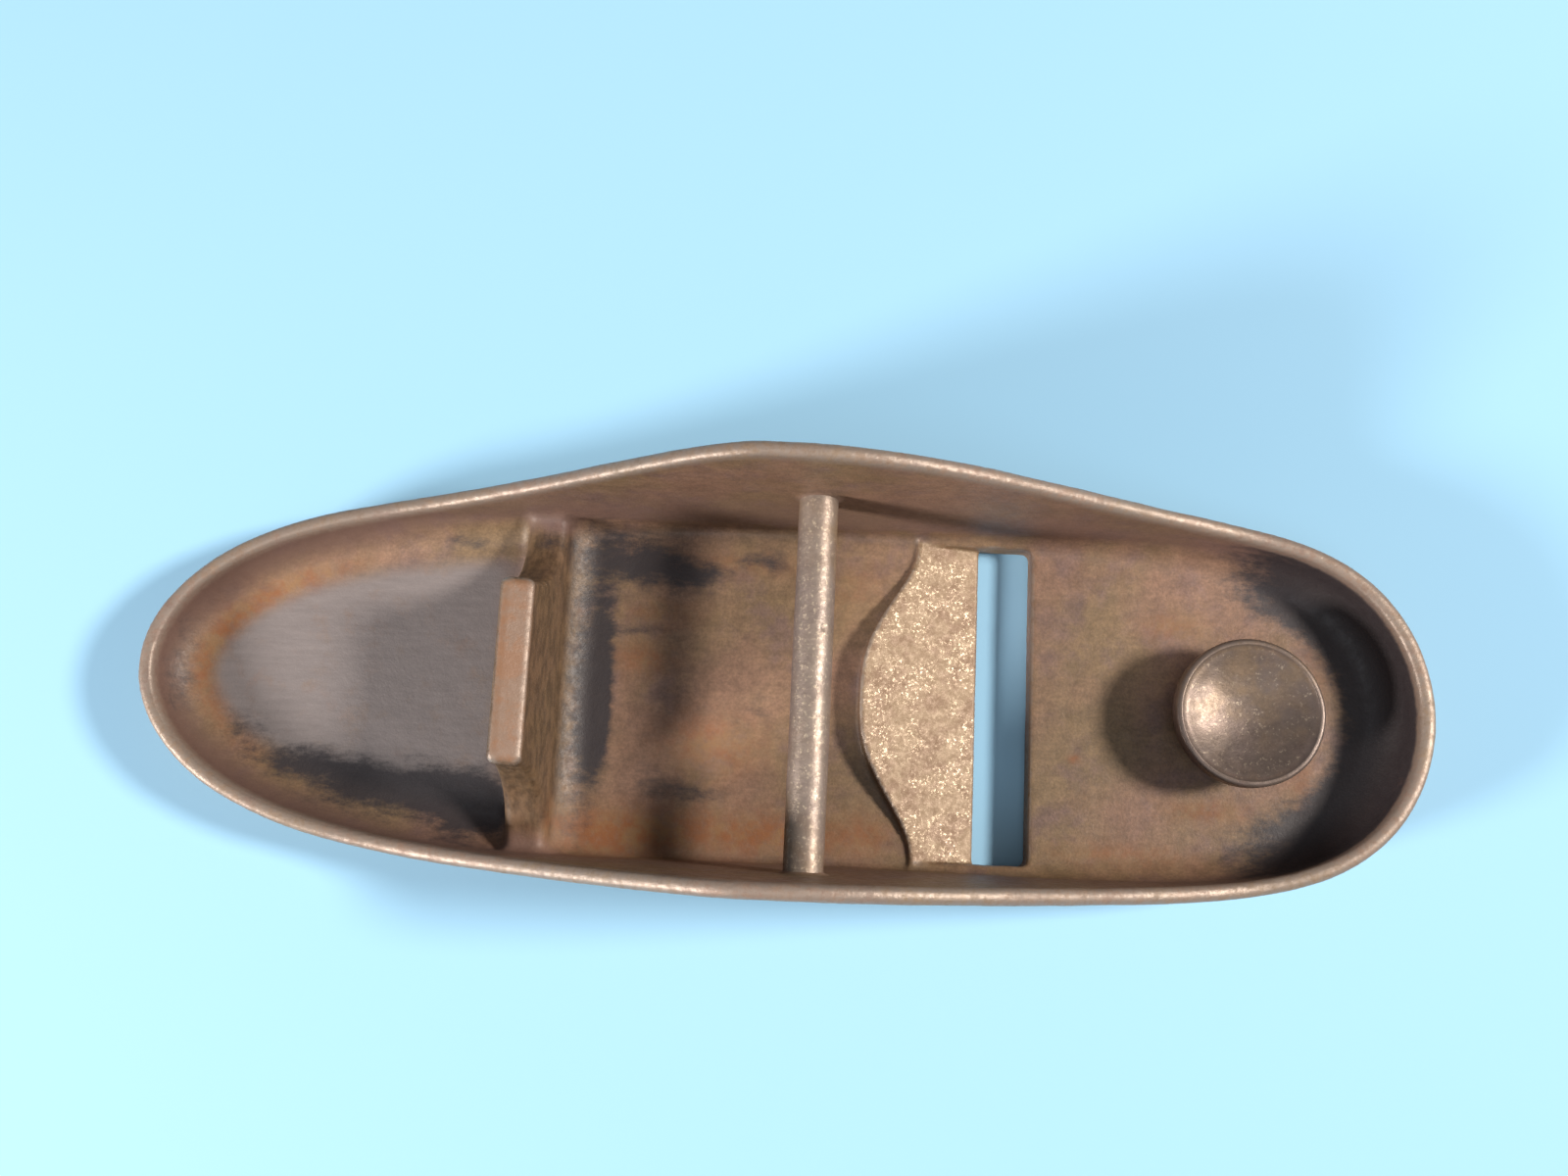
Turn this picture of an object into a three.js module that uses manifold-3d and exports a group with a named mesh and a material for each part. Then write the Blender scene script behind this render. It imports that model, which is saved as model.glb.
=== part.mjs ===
// Body of a small block plane: an iron casting with a cutter bed, a rear rest,
// a cross rod between the cheeks and a dished finger rest.
//
// Millimetres. +X points to the toe, +Y across the sole, +Z up.
// The origin is on the underside of the sole, at the middle of the length.

import * as THREE from 'three';
import { mergeVertices } from 'three/addons/utils/BufferGeometryUtils.js';
import Module from 'manifold-3d';

const wasm = await Module();
wasm.setup();

const rad = THREE.MathUtils.degToRad;

// ---------------------------------------------------------------- driving dimensions

const LENGTH = 139.7;
const SOLE_HALF_WIDTH = 20.27;
const SOLE_THICKNESS = 3.5;
const WIDEST_X = 3.8;

// The sole's outline is a superellipse, fuller at the toe than at the tail.
const TAIL_END = { power: 4.18, root: 1.91 };
const TOE_END = { power: 6.46, root: 1.95 };

// The rim rises from both ends to a hump beside the cross rod. The sheer is the power
// that makes the rise a little steeper on the tail side than a plain cosine.
const HUMP = { x: -2.1, height: 29.5 };
const TAIL_RIM = { height: 8.5, run: 46.2, sheer: 0.76 };
const TOE_RIM = { height: 10.2, run: 55.8, sheer: 1.13 };

const WALL = 1.7;
const OUTER_DRAFT = rad(3);
const INNER_DRAFT = rad(3.5);
const SOLE_EDGE = 0.4;

// The fillet between floor and wall is widest where the wall is lowest.
const FLOOR_FILLET = { underHump: 0.8, atTail: 3.2 };

const MOUTH = { rear: 22.1, length: 5.75, halfWidth: 17.6, cornerRadius: 0.8 };

// The cutter bed is a plane that starts just above the sole at the mouth.
const BED = { angle: rad(20), lip: 1.5, rear: 9, sideShortfall: 6.1, edgePower: 1.35 };

// The pad and the finger rest both stand a little to one side of the middle.
const ASIDE = -0.4;

const REST = {
  tailFace: -28.5,
  padLength: 3.4,
  padHalfWidth: 9.3,
  tailFaceLean: rad(0.5),
  toeFaceLean: rad(4.5),
  toeFillet: 3.4,
  tailFillet: 1.6,
  padRound: 0.7,
  shoulderStart: 9.6,
  shoulderHeight: 18,
  shelfStart: 18,
  shelfHeight: 7,
};

const ROD = { x: 3.65, z: 16.4, radius: 2.1, seatDepth: 0.7, sides: 40 };

const FINGER_REST = {
  x: 50.35,
  radius: 7.9,
  top: 10,
  dishRadius: 15.5,
  rimWidth: 0.7,
  edgeHeight: 1.8,
  edgeRound: 0.4,
  neckRadius: 4.9,
  neckFlare: 1,
  footRadius: 5.7,
  spigotRadius: 3,
  seatDepth: 1.7,
  sides: 56,
};

// Clearance between pieces that are set into each other.
const GAP = 0.3;

// How far a cutting solid runs past what it cuts.
const OVERCUT = 1;

const OUTLINE_STEPS = 128;
const BED_EDGE_STEPS = 36;
const ARC_STEPS = 6;
const WELD_DISTANCE = 1e-4;

// ---------------------------------------------------------------- outline and sheer

const tailTip = -LENGTH / 2 + rimDraft(TAIL_RIM.height);
const toeTip = LENGTH / 2 - rimDraft(TOE_RIM.height);

function rimDraft(height) {
  return (height - WALL / 2) * Math.tan(OUTER_DRAFT);
}

function endOf(x) {
  const end = x < WIDEST_X ? TAIL_END : TOE_END;
  const reach = x < WIDEST_X ? WIDEST_X - tailTip : toeTip - WIDEST_X;
  return { ...end, share: Math.min(Math.abs(x - WIDEST_X) / reach, 1), reach };
}

function soleHalfWidth(x) {
  const end = endOf(x);
  return SOLE_HALF_WIDTH * (1 - end.share ** end.power) ** (1 / end.root);
}

// Outward direction of the sole's outline at one of its points.
function outlineNormal(x, y) {
  const end = endOf(x);
  const along = (end.power * end.share ** (end.power - 1)) / end.reach;
  const across = (end.root * (Math.abs(y) / SOLE_HALF_WIDTH) ** (end.root - 1)) / SOLE_HALF_WIDTH;
  return new THREE.Vector2(Math.sign(x - WIDEST_X) * along, Math.sign(y) * across).normalize();
}

function rimHeight(x) {
  const end = x < HUMP.x ? TAIL_RIM : TOE_RIM;
  const share = Math.min(Math.abs(x - HUMP.x) / end.run, 1);
  const rise = 0.5 * (1 + Math.cos(Math.PI * share ** end.sheer));
  return end.height + (HUMP.height - end.height) * rise;
}

function floorFillet(rimTop) {
  const { underHump, atTail } = FLOOR_FILLET;
  return underHump + ((atTail - underHump) * (HUMP.height - rimTop)) / (HUMP.height - TAIL_RIM.height);
}

// ---------------------------------------------------------------- solids

function solidOf(geometry) {
  const bare = geometry.clone();
  bare.deleteAttribute('normal');
  bare.deleteAttribute('uv');
  const merged = mergeVertices(bare, WELD_DISTANCE);
  const mesh = new wasm.Mesh({
    numProp: 3,
    vertProperties: new Float32Array(merged.attributes.position.array),
    triVerts: new Uint32Array(merged.index.array),
  });
  return new wasm.Manifold(mesh);
}

function geometryOf(solid) {
  const mesh = solid.getMesh();
  const geometry = new THREE.BufferGeometry();
  geometry.setAttribute('position', new THREE.BufferAttribute(mesh.vertProperties, 3));
  geometry.setIndex(new THREE.BufferAttribute(mesh.triVerts, 1));
  geometry.computeVertexNormals();
  return geometry;
}

// Points on an arc, as [x, y] pairs, both ends included.
function arc(cx, cy, radius, from, to) {
  const points = [];
  for (let i = 0; i <= ARC_STEPS; i += 1) {
    const angle = rad(from + ((to - from) * i) / ARC_STEPS);
    points.push([cx + radius * Math.cos(angle), cy + radius * Math.sin(angle)]);
  }
  return points;
}

function shapeOf(points) {
  return new THREE.Shape(points.map(([x, y]) => new THREE.Vector2(x, y)));
}

// A plan shape in X and Y, raised from low to high.
function raised(shape, low, high) {
  const geometry = new THREE.ExtrudeGeometry(shape, { depth: high - low, bevelEnabled: false });
  return solidOf(geometry.translate(0, 0, low));
}

// A side shape in X and Z, carried across from -halfWidth to +halfWidth.
function acrossY(shape, halfWidth) {
  const geometry = new THREE.ExtrudeGeometry(shape, { depth: 2 * halfWidth, bevelEnabled: false });
  return solidOf(geometry.rotateX(Math.PI / 2).translate(0, halfWidth, 0));
}

// A front shape in Y and Z, carried along X from one place to another.
function alongX(shape, from, to) {
  const geometry = new THREE.ExtrudeGeometry(shape, { depth: to - from, bevelEnabled: false });
  return solidOf(geometry.rotateX(Math.PI / 2).rotateZ(Math.PI / 2).translate(from, 0, 0));
}

// ---------------------------------------------------------------- the tray

// One section through the wall, from the sole's edge over the rim to the floor,
// as [offset from the sole's outline, height] pairs.
function wallSection(rimTop) {
  const round = WALL / 2;
  const rimZ = rimTop - round;
  const outerSlope = Math.tan(OUTER_DRAFT);
  const innerSlope = Math.tan(INNER_DRAFT);
  const innerAt = (z) => rimZ * outerSlope - WALL - (rimZ - z) * innerSlope;
  const fillet = floorFillet(rimTop);
  const filletTop = SOLE_THICKNESS + fillet;
  const filletCentre = innerAt(filletTop) - fillet;
  return [
    [-SOLE_EDGE, 0],
    [SOLE_EDGE * outerSlope, SOLE_EDGE],
    [rimZ * 0.5 * outerSlope, rimZ * 0.5],
    ...arc(rimZ * outerSlope - round, rimZ, round, 0, 180),
    [innerAt((rimZ + filletTop) / 2), (rimZ + filletTop) / 2],
    ...arc(filletCentre, filletTop, fillet, 0, -90),
  ];
}

// Two triangles across the tray, between one step of its outline and the mirrored step.
// At the tips, where a step meets its own mirror image, there is only one.
function acrossStrip(at, i, row) {
  const [a, b, c, d] = [at(i, row), at(i + 1, row), at(-i - 1, row), at(-i, row)];
  return [[a, b, c], [a, c, d]].filter((corners) => new Set(corners).size === 3);
}

function trayGeometry() {
  const sections = [];
  for (let i = 0; i < OUTLINE_STEPS; i += 1) {
    const angle = (2 * Math.PI * i) / OUTLINE_STEPS;
    const x = (toeTip + tailTip) / 2 + ((toeTip - tailTip) / 2) * Math.cos(angle);
    const onAxis = i % (OUTLINE_STEPS / 2) === 0;
    const y = onAxis ? 0 : Math.sign(Math.sin(angle)) * soleHalfWidth(x);
    const normal = outlineNormal(x, y);
    const section = wallSection(rimHeight(x));
    sections.push(section.map(([offset, z]) => [x + normal.x * offset, y + normal.y * offset, z]));
  }
  const rows = sections[0].length;
  const vertices = sections.flat(2);
  const triangles = [];
  const at = (i, row) => ((i + OUTLINE_STEPS) % OUTLINE_STEPS) * rows + row;
  for (let i = 0; i < OUTLINE_STEPS; i += 1) {
    for (let row = 0; row < rows - 1; row += 1) {
      triangles.push(at(i, row), at(i + 1, row), at(i + 1, row + 1));
      triangles.push(at(i, row), at(i + 1, row + 1), at(i, row + 1));
    }
  }
  for (let i = 0; i < OUTLINE_STEPS / 2; i += 1) {
    const sole = acrossStrip(at, i, 0).map((corners) => corners.reverse());
    const floor = acrossStrip(at, i, rows - 1);
    triangles.push(...sole.flat(), ...floor.flat());
  }
  const geometry = new THREE.BufferGeometry();
  geometry.setAttribute('position', new THREE.Float32BufferAttribute(vertices, 3));
  geometry.setIndex(triangles);
  return geometry;
}

// Half the clear width between the cheeks at one place.
function cheekInside(x, z) {
  const rimZ = rimHeight(x) - WALL / 2;
  const offset = rimZ * Math.tan(OUTER_DRAFT) - WALL - (rimZ - z) * Math.tan(INNER_DRAFT);
  return soleHalfWidth(x) + offset;
}

// ---------------------------------------------------------------- mouth and cutter bed

function mouthCutter() {
  const { rear, length, halfWidth, cornerRadius } = MOUTH;
  const front = rear + length;
  const shape = shapeOf([
    [rear, -halfWidth],
    ...arc(front - cornerRadius, cornerRadius - halfWidth, cornerRadius, -90, 0),
    ...arc(front - cornerRadius, halfWidth - cornerRadius, cornerRadius, 0, 90),
    [rear, halfWidth],
  ]);
  return raised(shape, -OVERCUT, 2 * SOLE_THICKNESS);
}

function bedHeight(x) {
  return BED.lip + (MOUTH.rear - x) * Math.tan(BED.angle);
}

// Everything above the plane that the cutter lies on.
function aboveBed(halfWidth) {
  const from = BED.rear - OVERCUT;
  const to = MOUTH.rear + MOUTH.length / 2;
  const shape = shapeOf([
    [from, bedHeight(from)],
    [to, bedHeight(to)],
    [to, HUMP.height],
    [from, HUMP.height],
  ]);
  return acrossY(shape, halfWidth);
}

// The bed's rear edge bows back in the middle and meets the cheeks further forward.
function bedBoss() {
  const halfWidth = MOUTH.halfWidth + WALL / 2;
  const rearEdge = [];
  for (let i = 0; i <= BED_EDGE_STEPS; i += 1) {
    const y = halfWidth - (2 * halfWidth * i) / BED_EDGE_STEPS;
    const share = Math.min(Math.abs(y) / MOUTH.halfWidth, 1) ** BED.edgePower;
    rearEdge.push([BED.rear + BED.sideShortfall * 0.5 * (1 - Math.cos(Math.PI * share)), y]);
  }
  const shape = shapeOf([...rearEdge, [MOUTH.rear, -halfWidth], [MOUTH.rear, halfWidth]]);
  const rough = raised(shape, SOLE_THICKNESS / 2, bedHeight(BED.rear) + OVERCUT);
  return rough.subtract(aboveBed(HUMP.height));
}

// ---------------------------------------------------------------- rear rest

// Seen from the side: a web that widens a little towards the floor, with a pad on top
// that lies in the plane of the cutter bed.
function restWeb() {
  const { tailFace, padLength, tailFaceLean, toeFaceLean, toeFillet, tailFillet, padRound } = REST;
  const floor = SOLE_THICKNESS;
  const root = floor / 2;
  const padFront = tailFace + padLength;
  const padFrontZ = bedHeight(padFront);
  const toeFaceAt = (z) => padFront + (padFrontZ - z) * Math.tan(toeFaceLean);
  const tailFaceAt = (z) => tailFace - (padFrontZ - z) * Math.tan(tailFaceLean);
  const toeCentre = toeFaceAt(floor + toeFillet) + toeFillet / Math.cos(toeFaceLean);
  const tailCentre = tailFaceAt(floor + tailFillet) - tailFillet / Math.cos(tailFaceLean);
  const roundX = tailFace + padRound;
  const roundZ = bedHeight(roundX) - padRound / Math.cos(BED.angle);
  const degrees = THREE.MathUtils.radToDeg;
  const shape = shapeOf([
    [tailCentre, root],
    ...arc(tailCentre, floor + tailFillet, tailFillet, -90, -degrees(tailFaceLean)),
    ...arc(roundX, roundZ, padRound, 180 - degrees(tailFaceLean), 90 - degrees(BED.angle)),
    [padFront, padFrontZ],
    ...arc(toeCentre, floor + toeFillet, toeFillet, 180 + degrees(toeFaceLean), 270),
    [toeCentre, root],
  ].reverse());
  return acrossY(shape, cheekInside(tailFace, floor) + WALL / 2);
}

// What is cut away beside the pad: a steep shoulder that sweeps out to a low shelf.
function shoulderCutter(side) {
  const { padLength, padHalfWidth, shoulderStart, shoulderHeight } = REST;
  const { shelfStart, shelfHeight, toeFillet } = REST;
  const sweepWidth = shelfStart - shoulderStart;
  const sweepHeight = shoulderHeight - shelfHeight;
  const sweep = arc(0, 0, 1, 180, 270).map(([along, up]) => [
    shelfStart + sweepWidth * along,
    shoulderHeight + sweepHeight * up,
  ]);
  const outline = [
    [padHalfWidth, HUMP.height],
    ...sweep,
    [HUMP.height, shelfHeight],
    [HUMP.height, HUMP.height],
  ].map(([y, z]) => [side * y + ASIDE, z]);
  const reach = 2 * (padLength + toeFillet);
  return alongX(shapeOf(outline), REST.tailFace - reach, REST.tailFace + reach);
}

function rearRest() {
  return restWeb().subtract(shoulderCutter(1)).subtract(shoulderCutter(-1));
}

// ---------------------------------------------------------------- rod and finger rest

function rodHalfLength() {
  return cheekInside(ROD.x, ROD.z) + ROD.seatDepth;
}

function rodShape(radius, halfLength) {
  const geometry = new THREE.CylinderGeometry(radius, radius, 2 * halfLength, ROD.sides);
  return geometry.translate(ROD.x, 0, ROD.z);
}

function fingerRestSeat() {
  const { x, spigotRadius, seatDepth, sides } = FINGER_REST;
  const depth = 2 * seatDepth + GAP;
  const geometry = new THREE.CylinderGeometry(spigotRadius + GAP, spigotRadius + GAP, depth, sides);
  const bottom = SOLE_THICKNESS - seatDepth - GAP;
  return solidOf(geometry.rotateX(Math.PI / 2).translate(x, ASIDE, bottom + depth / 2));
}

function fingerRestGeometry() {
  const size = FINGER_REST;
  const footZ = SOLE_THICKNESS + GAP;
  const edgeBottom = size.top - size.edgeHeight;
  const dishMouth = size.radius - size.rimWidth;
  const dishDrop = (r) => size.dishRadius - Math.sqrt(size.dishRadius ** 2 - r ** 2);
  const dishBottom = size.top - dishDrop(dishMouth);
  const neckMiddle = (footZ + edgeBottom) / 2;
  const neck = new THREE.SplineCurve([
    new THREE.Vector2(size.footRadius, footZ),
    new THREE.Vector2(size.neckRadius, neckMiddle),
    new THREE.Vector2((size.neckRadius + size.radius) / 2, edgeBottom - size.neckFlare),
    new THREE.Vector2(size.radius, edgeBottom),
  ]).getPoints(2 * ARC_STEPS);
  const round = arc(size.radius - size.edgeRound, size.top - size.edgeRound, size.edgeRound, 0, 90);
  const dish = [];
  for (let i = 0; i <= ARC_STEPS; i += 1) {
    const r = dishMouth * (1 - i / ARC_STEPS);
    dish.push(new THREE.Vector2(r, dishBottom + dishDrop(r)));
  }
  const profile = [
    new THREE.Vector2(0, SOLE_THICKNESS - size.seatDepth),
    new THREE.Vector2(size.spigotRadius, SOLE_THICKNESS - size.seatDepth),
    new THREE.Vector2(size.spigotRadius, footZ),
    ...neck,
    ...round.map(([r, z]) => new THREE.Vector2(r, z)),
    ...dish,
  ];
  return new THREE.LatheGeometry(profile, size.sides).rotateX(Math.PI / 2).translate(size.x, ASIDE, 0);
}

// ---------------------------------------------------------------- pieces

function bodyCasting() {
  const rodSeats = rodShape(ROD.radius + GAP, rodHalfLength() + GAP);
  return solidOf(trayGeometry())
    .add(bedBoss())
    .subtract(aboveBed(MOUTH.halfWidth))
    .subtract(mouthCutter())
    .add(rearRest())
    .subtract(solidOf(rodSeats))
    .subtract(fingerRestSeat());
}

function piece(name, solid, color, roughness, metalness) {
  const material = new THREE.MeshStandardMaterial({ color, roughness, metalness });
  const mesh = new THREE.Mesh(geometryOf(solid), material);
  mesh.name = name;
  return mesh;
}

const blockPlane = new THREE.Group();
blockPlane.add(piece('body_casting', bodyCasting(), 0x55463a, 0.6, 0.8));
blockPlane.add(piece('cross_rod', solidOf(rodShape(ROD.radius, rodHalfLength())), 0x7a6f69, 0.4, 0.9));
blockPlane.add(piece('finger_rest', solidOf(fingerRestGeometry()), 0x6d5f54, 0.45, 0.9));

export default blockPlane;
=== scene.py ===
"""The looks of a stripped block plane body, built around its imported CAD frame.

Metres, in the CAD frame: +X points to the toe, +Y across the sole, +Z up.
The casting is first a field of signed distances (negative inside the iron), so that its
fillets, worn edges and cast lumps are real geometry once the field becomes a mesh.
"""

import math

import bpy
import numpy as np
import openvdb
from mathutils import Matrix, Vector


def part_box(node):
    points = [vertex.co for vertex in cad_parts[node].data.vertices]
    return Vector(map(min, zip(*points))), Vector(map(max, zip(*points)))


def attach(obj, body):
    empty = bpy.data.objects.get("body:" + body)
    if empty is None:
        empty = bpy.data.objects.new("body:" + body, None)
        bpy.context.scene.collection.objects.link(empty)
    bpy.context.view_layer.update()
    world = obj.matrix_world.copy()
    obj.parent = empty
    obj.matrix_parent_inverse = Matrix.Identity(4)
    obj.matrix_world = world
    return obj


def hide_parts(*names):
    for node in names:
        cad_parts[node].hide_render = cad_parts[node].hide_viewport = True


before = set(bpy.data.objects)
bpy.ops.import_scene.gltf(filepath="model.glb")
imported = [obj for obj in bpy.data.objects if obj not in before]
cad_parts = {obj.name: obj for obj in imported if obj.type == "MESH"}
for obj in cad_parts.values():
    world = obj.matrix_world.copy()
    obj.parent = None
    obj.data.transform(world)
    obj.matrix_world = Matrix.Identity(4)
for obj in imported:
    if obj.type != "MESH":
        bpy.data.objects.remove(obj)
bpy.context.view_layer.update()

MM = 0.001
rad = math.radians

# ---------------------------------------------------------------- driving dimensions

body_low, body_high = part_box("body_casting")
rod_low, rod_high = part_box("cross_rod")
finger_low, finger_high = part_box("finger_rest")

# The sole's outline: each end narrows from the widest place as a rounded power curve.
SOLE_HALF_WIDTH = 20.27 * MM
SOLE_THICKNESS = 3.5 * MM
SOLE_EDGE = 0.4 * MM
WIDEST_X = 3.8 * MM
TAIL_POWER = 4.18
TAIL_ROOT = 1.91
TOE_POWER = 6.46
TOE_ROOT = 1.95
OUTLINE_POINTS = 420

# The sheer, which is the rim's height from the hump down to each end.
HUMP_X = -2.1 * MM
HUMP_HEIGHT = body_high.z
TAIL_RIM_HEIGHT = 8.5 * MM
TAIL_RUN = 46.2 * MM
TAIL_SHEER = 0.76
TOE_RIM_HEIGHT = 10.2 * MM
TOE_RUN = 55.8 * MM
TOE_SHEER = 1.13

# The wall, with a rim between square and round, and its fillet down to the floor.
WALL = 1.7 * MM
RIM_SQUARENESS = 2.5
OUTER_SLOPE = math.tan(rad(3))
INNER_SLOPE = math.tan(rad(3.5))
FILLET_UNDER_HUMP = 0.8 * MM
FILLET_AT_TAIL = 4.4 * MM
FILLET_AT_TOE = 3.4 * MM
FILLET_GROWTH = 1.5

# The mouth slot through the sole.
MOUTH_REAR = 22.1 * MM
MOUTH_LENGTH = 5.75 * MM
MOUTH_FRONT = MOUTH_REAR + MOUTH_LENGTH
MOUTH_HALF_WIDTH = 17.6 * MM
MOUTH_CORNER = 0.8 * MM
MOUTH_EDGE = 0.12 * MM

# The raised bed behind the mouth, whose rear edge is a rounded tongue.
BED_ANGLE = rad(20)
BED_LIP = 1.5 * MM
BED_REAR = 9 * MM
BED_SIDE_SHORTFALL = 6.1 * MM
BED_EDGE_POWER = 1.35
BED_EDGE = 0.15 * MM
BED_FILLET = 0.5 * MM

# The web across the tray, with a pad on top.
ASIDE = -0.4 * MM
PAD_TAIL = -28.5 * MM
PAD_TOE = PAD_TAIL + 3.4 * MM
PAD_HALF_WIDTH = 9.3 * MM
PAD_ROUND = 1.0 * MM
PAD_FRONT_EDGE = 0.2 * MM
SHOULDER_START = 9.6 * MM
SHOULDER_HEIGHT = 18 * MM
SHELF_START = 18 * MM
SHELF_HEIGHT = 7 * MM
WEB_TAIL_SLOPE = math.tan(rad(0.5))
WEB_TOE_SLOPE = math.tan(rad(4.5))
WEB_TAIL_FILLET = 1.6 * MM
WEB_TOE_FILLET = 3.4 * MM
WEB_WALL_FILLET = 1.1 * MM

# The rod, and the stubs inside its ends that carry the cheeks' fillets.
ROD_X = (rod_low.x + rod_high.x) / 2
ROD_Z = (rod_low.z + rod_high.z) / 2
ROD_RADIUS = (rod_high.x - rod_low.x) / 2
STUB_INSET = 0.3 * MM
STUB_LENGTH = 2.4 * MM
STUB_FILLET = 0.9 * MM

# The finger rest, a button with a dish in its top.
FINGER_X = (finger_low.x + finger_high.x) / 2
FINGER_RADIUS = (finger_high.x - finger_low.x) / 2
FINGER_TOP = finger_high.z
EDGE_DEPTH = 1.8 * MM
EDGE_ROUND = 0.4 * MM
DISH_MOUTH = FINGER_RADIUS - 0.7 * MM
DISH_SPHERE = 15.5 * MM
DISH_STEPS = 16
LIP_ROUND = 0.15 * MM
NECK_TOP = FINGER_TOP - EDGE_DEPTH
NECK_FOOT = SOLE_THICKNESS + 0.3 * MM
NECK_FOOT_RADIUS = 5.7 * MM
NECK_WAIST_RADIUS = 4.9 * MM
FOOT_RADIUS = 5.5 * MM
SPIGOT_RADIUS = 3 * MM
SPIGOT_CHAMFER = 0.2 * MM

# The grid that the casting's field is worked out on.
PITCH = 0.3 * MM
MARGIN = 3 * PITCH

# ---------------------------------------------------------------- the outline and the sheer


def rim_draft(height):
    """How far the rim's outside stands out from the sole's outline, by the wall's draft."""
    return (height - WALL / 2) * OUTER_SLOPE


TAIL_TIP = body_low.x + rim_draft(TAIL_RIM_HEIGHT)
TOE_TIP = body_high.x - rim_draft(TOE_RIM_HEIGHT)


def sole_half_width(x):
    tail = np.clip((WIDEST_X - x) / (WIDEST_X - TAIL_TIP), 0, 1)
    toe = np.clip((x - WIDEST_X) / (TOE_TIP - WIDEST_X), 0, 1)
    tail_width = (1 - tail**TAIL_POWER) ** (1 / TAIL_ROOT)
    toe_width = (1 - toe**TOE_POWER) ** (1 / TOE_ROOT)
    return SOLE_HALF_WIDTH * np.minimum(tail_width, toe_width)


def rim_height(x):
    tail = np.clip((HUMP_X - x) / TAIL_RUN, 0, 1) ** TAIL_SHEER
    toe = np.clip((x - HUMP_X) / TOE_RUN, 0, 1) ** TOE_SHEER
    tail_rise = (HUMP_HEIGHT - TAIL_RIM_HEIGHT) * 0.5 * (1 + np.cos(np.pi * tail))
    toe_rise = (HUMP_HEIGHT - TOE_RIM_HEIGHT) * 0.5 * (1 + np.cos(np.pi * toe))
    return np.where(x < HUMP_X, TAIL_RIM_HEIGHT + tail_rise, TOE_RIM_HEIGHT + toe_rise)


def outline_points():
    """Points on the half of the sole's outline where Y is positive, from toe to tail."""
    angle = np.linspace(0, np.pi, OUTLINE_POINTS)
    x = (TOE_TIP + TAIL_TIP) / 2 + (TOE_TIP - TAIL_TIP) / 2 * np.cos(angle)
    return np.stack([x, sole_half_width(x)], axis=1)


def outline_field(x, y):
    """For each place: the signed distance to the sole's outline, and the X of the nearest
    point on it. Inside the outline the distance is negative."""
    points = outline_points()
    start = points[:-1]
    step = np.diff(points, axis=0)
    length_squared = (step**2).sum(axis=1)
    distance = np.empty((len(x), len(y)))
    nearest_x = np.empty_like(distance)
    across = np.abs(y)[:, None]
    rows = np.arange(len(y))
    for i, place in enumerate(x):
        share = (place - start[:, 0]) * step[:, 0] + (across - start[:, 1]) * step[:, 1]
        share = np.clip(share / length_squared, 0, 1)
        foot_x = start[:, 0] + share * step[:, 0]
        foot_y = start[:, 1] + share * step[:, 1]
        squared = (place - foot_x) ** 2 + (across - foot_y) ** 2
        best = squared.argmin(axis=1)
        distance[i] = np.sqrt(squared[rows, best])
        nearest_x[i] = foot_x[rows, best]
    inside = np.abs(y)[None, :] < sole_half_width(x)[:, None]
    return np.where(inside, -distance, distance), nearest_x


def outline_at(places):
    """The distance to the sole's outline and the nearest outline X, for scattered places."""
    x_axis = np.arange(body_low.x - MARGIN, body_high.x + MARGIN, MM)
    y_axis = np.arange(body_low.y - MARGIN, body_high.y + MARGIN, MM)
    results = []
    for table in outline_field(x_axis, y_axis):
        along = np.clip((places[:, 0] - x_axis[0]) / MM, 0, len(x_axis) - 1.001)
        across = np.clip((places[:, 1] - y_axis[0]) / MM, 0, len(y_axis) - 1.001)
        i = along.astype(int)
        j = across.astype(int)
        share_along = along - i
        share_across = across - j
        low = table[i, j] * (1 - share_along) + table[i + 1, j] * share_along
        high = table[i, j + 1] * (1 - share_along) + table[i + 1, j + 1] * share_along
        results.append(low * (1 - share_across) + high * share_across)
    return results


# ---------------------------------------------------------------- joining distance fields


def join(a, b, fillet):
    """Either solid, with a round fillet in the corner between them."""
    toward_a = np.maximum(fillet - a, 0)
    toward_b = np.maximum(fillet - b, 0)
    return np.maximum(fillet, np.minimum(a, b)) - np.sqrt(toward_a**2 + toward_b**2)


def common(a, b, radius):
    """What both solids share, with the edge between them rounded."""
    return -join(-a, -b, radius)


def blend_step(value, low, high):
    """0 below low, 1 above high, and a smooth rise between."""
    share = np.clip((value - low) / (high - low), 0, 1)
    return share * share * (3 - 2 * share)


def hill(value, middle, half_width):
    """1 at the middle, falling off smoothly to each side."""
    return np.exp(-(((value - middle) / half_width) ** 2))


def lumps(x, y, z, size, seed):
    """Smooth noise from -1 to 1 whose lumps are about one size across."""
    cells_each_way = 32
    shape = (cells_each_way, cells_each_way, cells_each_way)
    table = np.random.default_rng(seed).uniform(-1, 1, shape).astype(np.float32)
    cells = []
    shares = []
    for value in (x, y, z):
        scaled = value / size
        cell = np.floor(scaled)
        cells.append(cell.astype(np.int64))
        shares.append(blend_step(scaled - cell, 0, 1))
    total = 0
    for corner in range(8):
        bits = [(corner >> axis) & 1 for axis in range(3)]
        weight = 1
        for bit, share in zip(bits, shares):
            weight = weight * (share if bit else 1 - share)
        i, j, k = [(cell + bit) % cells_each_way for cell, bit in zip(cells, bits)]
        total = total + weight * table[i, j, k]
    return total


# ---------------------------------------------------------------- the casting's field


def bed_height(x):
    return BED_LIP + (MOUTH_REAR - x) * math.tan(BED_ANGLE)


def above_bed_plane(x, z):
    """The distance from the plane that the cutter lies on. The pad's top is in it too."""
    return (z - bed_height(x)) * math.cos(BED_ANGLE)


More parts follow.
